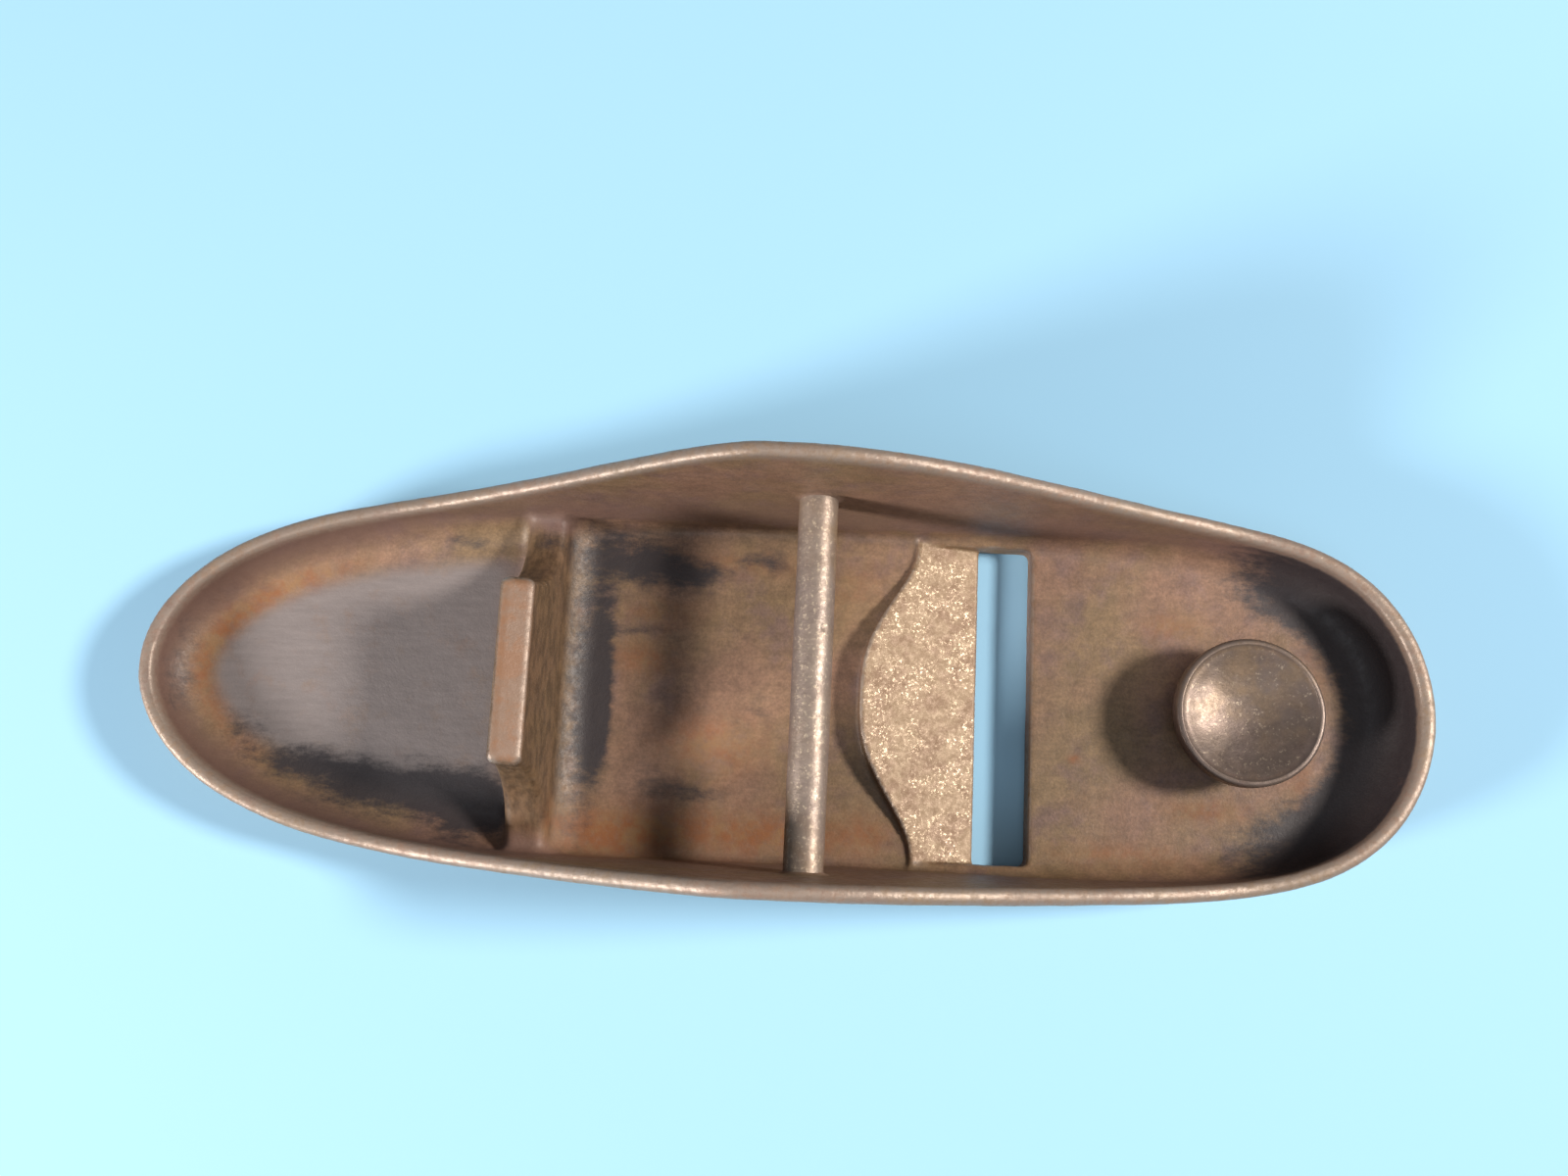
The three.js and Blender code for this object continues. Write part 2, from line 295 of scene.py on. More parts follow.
def floor_fillet(x, rim):
    """The fillet between wall and floor grows as the rim comes down toward each end."""
    at_end = np.where(x < HUMP_X, FILLET_AT_TAIL, FILLET_AT_TOE)
    low_rim = np.where(x < HUMP_X, TAIL_RIM_HEIGHT, TOE_RIM_HEIGHT)
    share = (HUMP_HEIGHT - rim) / (HUMP_HEIGHT - low_rim)
    return FILLET_UNDER_HUMP + (at_end - FILLET_UNDER_HUMP) * share**FILLET_GROWTH


def tray_field(z, offset, edge_x):
    """The sole and the wall round it. offset is the distance from the sole's outline and
    edge_x is where the nearest part of the outline lies."""
    rim = rim_height(edge_x)
    step = 0.5 * MM
    sheer_slope = (rim_height(edge_x + step) - rim_height(edge_x - step)) / (2 * step)
    upright = 1 / np.sqrt(1 + sheer_slope**2)
    rim_z = rim - WALL / 2 / upright
    low_z = np.minimum(z, rim_z)
    outer = low_z * OUTER_SLOPE
    inner = rim_z * OUTER_SLOPE - WALL - (rim_z - low_z) * INNER_SLOPE
    hollow = join(inner - offset, low_z - SOLE_THICKNESS, floor_fillet(edge_x, rim))
    wall = np.maximum(offset - outer, hollow)
    along = np.maximum(wall + WALL / 2, 0)
    up = np.maximum(z - rim_z, 0) * upright
    power = RIM_SQUARENESS
    return (along**power + up**power) ** (1 / power) - WALL / 2


def shoulder_field(y, z):
    """The space beside the pad, which sweeps down from the shoulder to the low shelf."""
    sweep_width = SHELF_START - SHOULDER_START
    sweep_height = SHOULDER_HEIGHT - SHELF_HEIGHT
    across = np.maximum(SHELF_START - np.abs(y - ASIDE), 0) / sweep_width
    down = np.maximum(SHOULDER_HEIGHT - z, 0) / sweep_height
    return (np.sqrt(across**2 + down**2) - 1) * (sweep_width + sweep_height) / 2


def rest_field(x, y, z, offset):
    """The web across the tray, with its pad on top and a low shelf at each side."""
    below_pad = bed_height(PAD_TOE) - z
    tail_face = PAD_TAIL - below_pad * WEB_TAIL_SLOPE - x
    toe_face = x - PAD_TOE - below_pad * WEB_TOE_SLOPE
    web = common(above_bed_plane(x, z), tail_face, PAD_ROUND)
    web = common(web, toe_face, PAD_FRONT_EDGE)
    web = common(web, -shoulder_field(y, z), PAD_ROUND)
    return np.maximum(web, offset + WALL / 2)


def rest_fillet(x, z):
    toward_toe = blend_step(x, PAD_TAIL, PAD_TOE)
    at_floor = WEB_TAIL_FILLET + (WEB_TOE_FILLET - WEB_TAIL_FILLET) * toward_toe
    above_floor = blend_step(z, SOLE_THICKNESS, SHELF_HEIGHT)
    return at_floor + (WEB_WALL_FILLET - at_floor) * above_floor


def bed_rear_edge(y):
    share = np.clip(np.abs(y) / MOUTH_HALF_WIDTH, 0, 1) ** BED_EDGE_POWER
    return BED_REAR + BED_SIDE_SHORTFALL * 0.5 * (1 - np.cos(np.pi * share))


def boss_field(x, y, z, offset):
    """The raised floor that carries the cutter bed."""
    boss = np.maximum(bed_rear_edge(y) - x, x - MOUTH_REAR)
    boss = np.maximum(boss, offset + WALL / 2)
    return common(boss, above_bed_plane(x, z), BED_EDGE)


def above_bed_field(x, y, z):
    """The space that the cutter needs, above the bed and between the cheeks."""
    ends = np.maximum(BED_REAR - MM - x, x - MOUTH_REAR - MOUTH_LENGTH / 2)
    sides = np.abs(y) - MOUTH_HALF_WIDTH
    return np.maximum(np.maximum(ends, sides), -above_bed_plane(x, z))


def mouth_field(x, y, z):
    """The slot through the sole, with rounded front corners."""
    sides = np.abs(y) - MOUTH_HALF_WIDTH
    slot = np.maximum(common(x - MOUTH_FRONT, sides, MOUTH_CORNER), MOUTH_REAR - x)
    return np.maximum(slot, z - 2 * SOLE_THICKNESS)


def rod_stub_field(x, z, offset):
    """Short stubs inside the rod's ends, so that a small fillet runs from cheek to rod."""
    from_axis = np.sqrt((x - ROD_X) ** 2 + (z - ROD_Z) ** 2)
    return np.maximum(from_axis - (ROD_RADIUS - STUB_INSET), -offset - WALL - STUB_LENGTH)


def machined(x, y, z):
    """1 on the faces that were ground flat, falling to 0 just beside them."""
    beside = 0.3 * MM
    plane = 1 - blend_step(np.abs(above_bed_plane(x, z)), 0.1 * MM, 0.5 * MM)
    bed = plane * (x > BED_REAR - MM) * (x < MOUTH_REAR + beside)
    pad = plane * (x < PAD_TOE + beside) * (np.abs(y - ASIDE) < PAD_HALF_WIDTH)
    sole = 1 - blend_step(z, 0.1 * MM, 0.8 * MM)
    return np.maximum(np.maximum(bed, pad), sole)


def cast_relief(x, y, z):
    """How far the cast skin stands off its smooth shape."""
    rough = 0.035 * MM * lumps(x, y, z, size=4.1 * MM, seed=11)
    rough += 0.014 * MM * lumps(x, y, z, size=1.7 * MM, seed=12)
    rough += 0.014 * MM * lumps(x, y, z, size=0.8 * MM, seed=13)
    return rough * (1 - machined(x, y, z))


def casting_field():
    """The casting's signed distances on a grid, with the grid's axes."""
    axes = [
        np.arange(low - MARGIN, high + MARGIN, PITCH)
        for low, high in zip(body_low, body_high)
    ]
    x = axes[0][:, None, None]
    y = axes[1][None, :, None]
    z = axes[2][None, None, :]
    offset, edge_x = outline_field(axes[0], axes[1])
    offset = offset[:, :, None]
    edge_x = edge_x[:, :, None]
    field = tray_field(z, offset, edge_x)
    field = join(field, rest_field(x, y, z, offset), rest_fillet(x, z))
    field = join(field, boss_field(x, y, z, offset), BED_FILLET)
    field = np.maximum(field, -above_bed_field(x, y, z))
    field = join(field, rod_stub_field(x, z, offset), STUB_FILLET)
    field = common(field, -mouth_field(x, y, z), MOUTH_EDGE)
    field = np.maximum(field, offset - z * OUTER_SLOPE)
    near_skin = np.nonzero(np.abs(field) < 3 * PITCH)
    field[near_skin] += cast_relief(*[axis[index] for axis, index in zip(axes, near_skin)])
    field = common(field, -z, SOLE_EDGE)
    return field.astype(np.float32), axes


# ---------------------------------------------------------------- where the iron is worn, rusty or dark


def sample_field(field, axes, places):
    """The field's values between grid points, for places as an array of X, Y, Z rows."""
    origin = np.array([axis[0] for axis in axes])
    last_cell = np.array(field.shape) - 1.001
    scaled = np.clip((places - origin) / PITCH, 0, last_cell)
    cell = scaled.astype(int)
    share = scaled - cell
    total = 0
    for corner in range(8):
        bits = np.array([(corner >> axis) & 1 for axis in range(3)])
        weight = np.prod(np.where(bits, share, 1 - share), axis=1)
        i, j, k = (cell + bits).T
        total = total + weight * field[i, j, k]
    return total


def convexity(field, axes, places):
    """Positive on edges that stick out and negative in corners."""
    reach = 2 * PITCH
    around = 0
    for axis in range(3):
        for side in (-1, 1):
            moved = places.copy()
            moved[:, axis] += side * reach
            around = around + sample_field(field, axes, moved)
    return around / reach - 6 * sample_field(field, axes, places) / reach


# Each patch is X, Y, about half its length and half its width, in mm, and how strong it is.
RUST_PATCHES = (
    (-15.5, 3.5, 3.5, 2.2, 0.7),
    (-14.0, 8.5, 5.0, 1.6, 0.45),
    (-7.0, -6.0, 5.5, 3.4, 0.85),
    (-10.0, -15.5, 12.0, 2.6, 0.85),
    (-17.5, -16.5, 4.5, 2.4, 0.9),
    (2.0, -15.5, 7.0, 2.2, 0.7),
    (-4.0, 14.5, 6.0, 1.5, 0.5),
    (8.0, 12.0, 4.0, 4.0, 0.35),
    (10.5, -15.0, 3.0, 2.5, 0.6),
    (43.5, 9.5, 3.5, 1.6, 0.7),
    (32.9, -5.7, 0.7, 0.5, 0.9),
    (47.5, -10.8, 4.5, 1.4, 0.65),
    (57.5, -7.0, 1.6, 5.0, 0.4),
    (38.0, -16.0, 8.0, 1.4, 0.6),
    (60.0, 6.0, 3.0, 5.0, 0.3),
    (-25.5, -15.5, 4.0, 2.5, 0.3),
)

# Dark patches, partly grime and partly painted shadow: the strip along the foot of the web and the band
# along the foot of the tail's wall where Y is negative are painted shadow.
SHADE_AND_GRIME_PATCHES = (
    (-16.5, 14.5, 5.0, 3.2, 1.0),
    (-10.0, 13.0, 4.0, 2.0, 0.85),
    (-1.5, 15.0, 3.0, 1.4, 0.75),
    (-21.6, 0.0, 1.9, 17.0, 0.9),
    (-19.6, 2.0, 1.3, 9.5, 0.85),
    (-19.8, -4.5, 1.2, 4.5, 0.9),
    (-15.5, 6.5, 3.0, 0.9, 0.45),
    (-10.5, -11.3, 5.0, 1.2, 0.65),
    (-14.0, -9.0, 3.5, 1.6, 0.35),
    (-3.0, -3.0, 3.5, 3.0, 0.3),
    (-26.0, 15.0, 2.0, 2.2, 0.75),
    (-36.0, 15.5, 4.5, 1.2, 0.45),
    (-66.5, -1.0, 2.2, 8.0, 0.4),
    (-59.0, -6.5, 3.0, 3.0, 0.5),
    (-52.5, -9.8, 5.0, 1.9, 0.9),
    (-43.0, -12.2, 8.0, 2.8, 1.3),
    (-33.0, -13.8, 5.0, 3.8, 1.4),
)

STRONGEST_PATCH = 1.2


def patches(table, x, y):
    total = 0
    for middle_x, middle_y, half_length, half_width, strength in table:
        along = hill(x, middle_x * MM, half_length * MM)
        across = hill(y, middle_y * MM, half_width * MM)
        total = total + strength * along * across
    return np.minimum(total, STRONGEST_PATCH)


def near_cutter_plane(x, z):
    return 1 - blend_step(np.abs(above_bed_plane(x, z)), 0.08 * MM, 0.35 * MM)


def bed_mask(x, y, z):
    along = (x > BED_REAR - MM) * (x < MOUTH_REAR + 0.2 * MM)
    return near_cutter_plane(x, z) * along * (np.abs(y) < MOUTH_HALF_WIDTH + 0.1 * MM)


def pad_mask(x, z):
    return near_cutter_plane(x, z) * (x < PAD_TOE + 0.4 * MM)


def pad_edge_highlight_and_wear(x, z):
    """The lighter line along the pad's edge toward the toe: rubbed wear, and a painted highlight."""
    return 0.9 * pad_mask(x, z) * hill(x, PAD_TOE - 0.2 * MM, 0.28 * MM)


def web_mask(x, z, depth):
    """The web's faces and the fillet at its foot toward the toe, short of the cheeks."""
    web = (x > PAD_TAIL - MM) * (1 - blend_step(x, PAD_TOE + 3.5 * MM, PAD_TOE + 6.5 * MM))
    web = web * blend_step(depth, 2.6 * MM, 4.5 * MM)
    return web * blend_step(z, SOLE_THICKNESS + 0.1 * MM, SOLE_THICKNESS + 1.2 * MM)


def worn_rim_mask(z, depth, rim):
    return blend_step(z, rim - 1.7 * MM, rim - 0.4 * MM) * (depth < WALL + MM)


def tail_rust_band(x, y, depth):
    """The rust that follows the foot of the wall round the tail, fainter where Y is negative."""
    band = hill(depth, 4.9 * MM, 1.3 * MM) * blend_step(-x, 42 * MM, 57 * MM)
    return band * (0.35 + 0.65 * blend_step(y, -9 * MM, 2 * MM))


def tail_wall_mask(x, depth):
    """The inside of the tail's wall and its fillet, as a darker brown."""
    return blend_step(-x, 32 * MM, 50 * MM) * (1 - blend_step(depth, 2.2 * MM, 4.4 * MM))


def toe_shade_and_grime(x, depth):
    """Painted shade, with some grime, in the deep corner round the inside of the toe, which its wall
    shades.
    """
    return 1.15 * blend_step(x, 44 * MM, 58 * MM) * (1 - blend_step(depth, 5 * MM, 9.5 * MM))


def tail_floor_mask(x, depth):
    """The part of the tail's floor that was rubbed down to grey."""
    return blend_step(-x, 28 * MM, 33 * MM) * blend_step(depth, 4.6 * MM, 7.5 * MM)


def casting_masks(field, axes, places):
    """One number per vertex for each way in which the iron differs from place to place, and for where shade
    is painted on it.
    """
    x, y, z = places.T
    offset, edge_x = outline_at(places)
    depth = -offset
    inside = blend_step(depth, 0.5 * MM, 1.5 * MM)
    near_floor = 1 - blend_step(z, SOLE_THICKNESS + 2 * MM, SOLE_THICKNESS + 6 * MM)
    off_floor = blend_step(z, SOLE_THICKNESS + MM, SOLE_THICKNESS + 3 * MM)
    worn_rim = worn_rim_mask(z, depth, rim_height(edge_x))
    pad = pad_mask(x, z)
    web = web_mask(x, z, depth)
    rust = patches(RUST_PATCHES, x, y) * inside
    shade_and_grime = patches(SHADE_AND_GRIME_PATCHES, x, y) * near_floor
    convex = convexity(field, axes, places)
    return {
        "rust": np.maximum(rust, tail_rust_band(x, y, depth)) * near_floor,
        # Painted shade and grime: the dark patches, and the painted shade inside the toe.
        "shade_and_grime": np.maximum(shade_and_grime, toe_shade_and_grime(x, depth) * (1 - worn_rim)) * inside,
        "grey": tail_floor_mask(x, depth) * near_floor,
        "wall": off_floor * inside * (1 - web),
        "tail_wall": tail_wall_mask(x, depth) * inside * (1 - worn_rim),
        "web": web * (1 - pad),
        "bed": bed_mask(x, y, z),
        "pad": pad,
        "rim": np.maximum(worn_rim, pad_edge_highlight_and_wear(x, z)),
        "edge": np.clip(convex, 0, 2) * 0.5,
        # Painted shade in every corner.
        "corner": np.clip(-convex, 0, 2) * 0.5,
    }


# ---------------------------------------------------------------- meshes


def finish_mesh(name, points, faces, masks):
    """A smooth-shaded object whose masks are stored as one number per vertex."""
    mesh = bpy.data.meshes.new(name)
    mesh.from_pydata(points, [], faces)
    mesh.polygons.foreach_set("use_smooth", np.ones(len(mesh.polygons), dtype=bool))
    for mask, values in masks.items():
        attribute = mesh.attributes.new(mask, "FLOAT", "POINT")
        attribute.data.foreach_set("value", np.asarray(values, dtype=np.float32))
    mesh.update()
    piece = bpy.data.objects.new(name, mesh)
    bpy.context.scene.collection.objects.link(piece)
    return piece


def make_casting():
    field, axes = casting_field()
    grid = openvdb.FloatGrid(1.0)
    grid.copyFromArray(field)
    points, quads = grid.convertToQuads(0.0)
    origin = np.array([axis[0] for axis in axes])
    points = origin + points.astype(np.float64) * PITCH
    return finish_mesh("casting", points, quads[:, ::-1], casting_masks(field, axes, points))


def lathe(profile, sides):
    """Turns a profile of (radius, height) pairs, whose ends are on the axis, round Z."""
    ring = profile[1:-1]
    points = [(0, 0, profile[0][1])]
    for side in range(sides):
        angle = 2 * math.pi * side / sides
        points += [(r * math.cos(angle), r * math.sin(angle), height) for r, height in ring]
    points.append((0, 0, profile[-1][1]))
    last = len(points) - 1
    count = len(ring)
    faces = []
    for side in range(sides):
        here = 1 + side * count
        there = 1 + (side + 1) % sides * count
        faces.append((0, there, here))
        for step in range(count - 1):
            faces.append((here + step, there + step, there + step + 1, here + step + 1))
        faces.append((here + count - 1, there + count - 1, last))
    return np.array(points), faces


def arc(middle, radius, start, end, steps):
    """Points on a circle, from one angle to another in degrees."""
    angles = [rad(start + (end - start) * i / steps) for i in range(steps + 1)]
    return [(middle[0] + radius * math.cos(a), middle[1] + radius * math.sin(a)) for a in angles]


def curve_place(before, start, end, after, share):
    """A number a share of the way from start to end, on a smooth curve through all four."""
    slope = (end - before) * share
    bend = (2 * before - 5 * start + 4 * end - after) * share**2
    turn = (3 * start - before - 3 * end + after) * share**3
    return 0.5 * (2 * start + slope + bend + turn)


def curve_through(points, steps):
    """A smooth curve through a few (radius, height) points."""
    padded = [points[0], *points, points[-1]]
    smooth = []
    for four in zip(padded, padded[1:], padded[2:], padded[3:]):
        for i in range(steps):
            smooth.append(tuple(curve_place(*numbers, i / steps) for numbers in zip(*four)))
    return [*smooth, points[-1]]


def dish_profile():
    """A shallow part of a sphere, from its mouth down to the axis."""
    radii = [DISH_MOUTH * i / DISH_STEPS for i in range(DISH_STEPS, -1, -1)]
    rises = [DISH_SPHERE - math.sqrt(DISH_SPHERE**2 - radius**2) for radius in radii]
    return [(radius, FINGER_TOP - rises[0] + rise) for radius, rise in zip(radii, rises)]


def neck_profile():
    """The neck is narrow at its waist and spreads out to the button's edge."""
    return curve_through([
        (NECK_FOOT_RADIUS, NECK_FOOT),
        (NECK_WAIST_RADIUS, (NECK_FOOT + NECK_TOP) / 2),
        ((NECK_WAIST_RADIUS + FINGER_RADIUS) / 2, NECK_TOP - MM),
        (FINGER_RADIUS, NECK_TOP),
    ], 8)


def finger_rest_masks(from_axis, height):
    near_top = height > FINGER_TOP - 0.8 * MM
    return {
        "rim": hill(from_axis, FINGER_RADIUS - 0.4 * MM, 0.5 * MM) * near_top,
        "dish": (from_axis < DISH_MOUTH) * (height > NECK_TOP),
        # Painted shade on the neck under the button's edge.
        "shade_under_edge": 1 - blend_step(height, NECK_TOP - 2 * MM, NECK_TOP),
    }


def make_finger_rest():
    """A turned button: spigot, waisted neck, thin edge and a shallow dish."""
    edge_middle = (FINGER_RADIUS - EDGE_ROUND, FINGER_TOP - EDGE_ROUND)
    lip_middle = (DISH_MOUTH + LIP_ROUND, FINGER_TOP - LIP_ROUND)
    profile = [
        (0, finger_low.z),
        (SPIGOT_RADIUS - SPIGOT_CHAMFER, finger_low.z),
        (SPIGOT_RADIUS, finger_low.z + SPIGOT_CHAMFER),
        (SPIGOT_RADIUS, NECK_FOOT),
        (FOOT_RADIUS, NECK_FOOT),
        *neck_profile(),
        *arc(edge_middle, EDGE_ROUND, 0, 80, 5),
        *arc(lip_middle, LIP_ROUND, 90, 150, 3),
        *dish_profile()[1:],
    ]
    points, faces = lathe(profile, 128)
    points += (FINGER_X, ASIDE, 0)
    from_axis = np.hypot(points[:, 0] - FINGER_X, points[:, 1] - ASIDE)
    height = points[:, 2]
    bumps = 0.05 * MM * lumps(*points.T, size=3.1 * MM, seed=21)
    bumps += 0.02 * MM * lumps(*points.T, size=1.2 * MM, seed=22)
    points[:, 2] += bumps * (height > NECK_TOP)
    masks = finger_rest_masks(from_axis, height)
    return finish_mesh("finger_rest_button", points, faces, masks)


def rod_unevenness(x, y, z):
    """What the rod's radius is multiplied by: cast lumps, a slight shrink and one small pit.
    x and z are measured from the rod's axis."""
    shrink = 0.02
    pit_depth = 0.07
    pit_size = 0.35 * MM
    pit = hill(x, 1.05 * MM, pit_size) * hill(y, 5.4 * MM, pit_size) * hill(z, 1.8 * MM, pit_size)
    coarse = 0.022 * lumps(x, y, z, size=4.3 * MM, seed=31)
    fine = 0.012 * lumps(x, y, z, size=1.5 * MM, seed=32)
    return 1 + coarse + fine - shrink - pit_depth * pit


def make_rod():
    """A cast rod: a cylinder that isn't quite even, with a small pit."""
    sides = 72
    rings = 260
    half = (rod_high.y - rod_low.y) / 2
    end_radius = ROD_RADIUS * 0.8
    profile = [(0, -half), (end_radius, -half)]
    profile += [(ROD_RADIUS, -half + 2 * half * i / rings) for i in range(rings + 1)]
    profile += [(end_radius, half), (0, half)]
    points, faces = lathe(profile, sides)
    x = points[:, 0]
    y = points[:, 2]
    z = -points[:, 1]
    uneven = rod_unevenness(x, y, z)
    points = np.stack([ROD_X + x * uneven, y, ROD_Z + z * uneven], axis=1)
    return finish_mesh("rod", points, faces, {"top": blend_step(z, 0, ROD_RADIUS)})


# ---------------------------------------------------------------- materials


class Shader:
    """A material's nodes, added one call at a time."""

    def __init__(self, name):
        self.material = bpy.data.materials.new(name)
        self.material.use_nodes = True
        self.tree = self.material.node_tree
        self.surface = self.tree.nodes["Principled BSDF"]
        self.place = self.tree.nodes.new("ShaderNodeTexCoord").outputs["Object"]

    def node(self, kind, inputs=(), **settings):
        node = self.tree.nodes.new(kind)
        for name, value in settings.items():
            setattr(node, name, value)
        for name, value in dict(inputs).items():
            self.set(node.inputs[name], value)
        return node

    def set(self, socket, value):
        if isinstance(value, bpy.types.NodeSocket):
            self.tree.links.new(value, socket)
        elif isinstance(value, tuple) and len(value) == 3 and socket.type == "RGBA":
            socket.default_value = (*value, 1)
        else:
            socket.default_value = value

    def mask(self, name):
        return self.node("ShaderNodeAttribute", attribute_name=name).outputs["Fac"]

    def stretched(self, scale):
        return self.node("ShaderNodeMapping", {"Vector": self.place, "Scale": scale}).outputs["Vector"]

    def noise(self, size, detail=3.0, rough=0.5, stretch=None):
        """Noise from 0 to 1 with features about one size across, in metres."""
        place = self.stretched(stretch) if stretch else self.place
        inputs = {"Vector": place, "Scale": 1 / size, "Detail": detail, "Roughness": rough}
        return self.node("ShaderNodeTexNoise", inputs).outputs["Fac"]

    def ramp(self, value, low, high, to_low=0.0, to_high=1.0):
        """to_low where the value is low or less, to_high where it is high or more."""
        inputs = {"Value": value, "From Min": low, "From Max": high, "To Min": to_low, "To Max": to_high}
        return self.node("ShaderNodeMapRange", inputs, interpolation_type="SMOOTHSTEP").outputs["Result"]

    def math(self, operation, a, b):
        node = self.node("ShaderNodeMath", operation=operation)
        self.set(node.inputs[0], a)
        self.set(node.inputs[1], b)
        return node.outputs["Value"]

    def times(self, a, b):
        return self.math("MULTIPLY", a, b)

    def colour(self, share, a, b):
        """A colour that goes from a to b as the share goes from 0 to 1."""
        node = self.node("ShaderNodeMix", data_type="RGBA")
        self.set(node.inputs[0], share)
        self.set(node.inputs[6], a)
        self.set(node.inputs[7], b)
        return node.outputs[2]

    def number(self, share, a, b):
        """A number that goes from a to b as the share goes from 0 to 1."""
        node = self.node("ShaderNodeMix", data_type="FLOAT")
        self.set(node.inputs[0], share)
        self.set(node.inputs[2], a)
        self.set(node.inputs[3], b)
        return node.outputs[0]

    def darken(self, colour, factor):
        """The colour multiplied by a number, which can also be above 1."""
        inputs = {"Vector": colour, "Scale": factor}
        return self.node("ShaderNodeVectorMath", inputs, operation="SCALE").outputs["Vector"]

    def bump(self, height, distance, strength, onto=None):
        inputs = {"Height": height, "Distance": distance, "Strength": strength}
        if onto is not None:
            inputs["Normal"] = onto
        return self.node("ShaderNodeBump", inputs).outputs["Normal"]

    def finish(self, colour, roughness, metallic, normal):
        self.set(self.surface.inputs["Base Color"], colour)
        self.set(self.surface.inputs["Roughness"], roughness)
        self.set(self.surface.inputs["Metallic"], metallic)
        self.set(self.surface.inputs["Normal"], normal)
        return self.material


BROWN = (0.222, 0.124, 0.080)
OLIVE = (0.200, 0.126, 0.066)
PURPLE = (0.165, 0.098, 0.084)
GREY = (0.205, 0.172, 0.164)
RUST = (0.250, 0.094, 0.034)
OCHRE = (0.260, 0.138, 0.060)
# A near-black for painted shade and for grime.
SHADE_AND_GRIME_BLACK = (0.030, 0.024, 0.027)
TAIL_BROWN = (0.125, 0.070, 0.054)
STREAKED = (0.098, 0.058, 0.029)
BED_TAN = (0.255, 0.166, 0.094)
BED_BROWN = (0.20, 0.115, 0.062)
PAD_BROWN = (0.235, 0.142, 0.094)
PAD_RUST = (0.25, 0.125, 0.066)
BARE = (0.62, 0.49, 0.355)
WORN_IRON = (0.30, 0.232, 0.188)
RUBBED_IRON = (0.155, 0.116, 0.098)
ROD_BROWN = (0.17, 0.125, 0.115)
FINGER_BROWN = (0.10, 0.070, 0.062)
FLOOR_BLUE = (0.32, 0.57, 0.77, 1)


def patina(shader, tone):
    """The brown skin that all the old iron shares, as a colour."""
    broad = shader.ramp(shader.noise(11 * MM, detail=4), 0.35, 0.65)
    clouds = shader.ramp(shader.noise(5 * MM, detail=4, rough=0.6), 0.48, 0.72, to_high=0.75)
    mottle = shader.noise(1.7 * MM, detail=5, rough=0.6)
    grain = shader.noise(0.3 * MM, detail=3, rough=0.7)
    colour = shader.colour(broad, tone, OLIVE)
    colour = shader.colour(clouds, colour, PURPLE)
    colour = shader.darken(colour, shader.ramp(mottle, 0.3, 0.7, to_low=0.86, to_high=1.14))
    return shader.darken(colour, shader.ramp(grain, 0.3, 0.7, to_low=0.84, to_high=1.16))


def tail_floor_and_walls(shader, colour, blotch):
    """The tail's grey floor, faint long scratches all over, and the darker insides of the walls."""
    scratches = shader.noise(0.6 * MM, detail=4, rough=0.6, stretch=(0.12, 1.0, 1.0))
    greyed = shader.times(shader.mask("grey"), shader.ramp(blotch, 0.2, 0.5, to_low=0.6))
    colour = shader.colour(greyed, colour, GREY)
    colour = shader.darken(colour, shader.ramp(scratches, 0.3, 0.7, to_low=0.94, to_high=1.06))
    colour = shader.colour(shader.times(shader.mask("wall"), 0.6), colour, PURPLE)
    return shader.colour(shader.times(shader.mask("tail_wall"), 0.75), colour, TAIL_BROWN)


def streaked_web(shader, colour):
    """Dark streaks across the web's face."""
    web = shader.mask("web")
    streaks = shader.noise(0.7 * MM, detail=5, rough=0.65, stretch=(1.0, 0.3, 0.6))
    streaks = shader.ramp(streaks, 0.35, 0.65, to_low=0.7, to_high=1.3)
    colour = shader.colour(shader.times(web, 0.8), colour, STREAKED)
    return shader.darken(colour, shader.number(web, 1.0, streaks))


def rusted(shader, colour, fine, blotch):
    tone = shader.colour(shader.ramp(blotch, 0.4, 0.62), RUST, OCHRE)
    share = shader.times(shader.mask("rust"), shader.ramp(fine, 0.28, 0.62, to_low=0.4))
    return shader.colour(share, colour, tone)


def shaded_and_grimed(shader, colour):
    """Painted shade and grime with feathered edges, and a little more painted shade in every corner."""
    mask = shader.mask("shade_and_grime")
    feathered = shader.noise(1.8 * MM, detail=9, rough=0.78, stretch=(0.5, 1.0, 1.0))
    uneven = shader.times(shader.math("SUBTRACT", feathered, 0.5), 2.0)
    share = shader.ramp(shader.math("ADD", mask, uneven), 0.15, 0.95, to_high=0.95)
    share = shader.times(share, shader.ramp(mask, 0.0, 0.3))
    colour = shader.colour(share, colour, SHADE_AND_GRIME_BLACK)
    return shader.colour(shader.times(shader.mask("corner"), 0.5), colour, SHADE_AND_GRIME_BLACK)


def bed_and_pad(shader, colour, blotch):
    """The machined faces, which are lighter than the cast skin."""
    bed_tone = shader.colour(shader.ramp(blotch, 0.42, 0.62), BED_TAN, BED_BROWN)
    pad_tone = shader.colour(shader.ramp(blotch, 0.45, 0.6), PAD_BROWN, PAD_RUST)
    colour = shader.colour(shader.mask("bed"), colour, bed_tone)
    return shader.colour(shader.times(shader.mask("pad"), 0.9), colour, pad_tone)


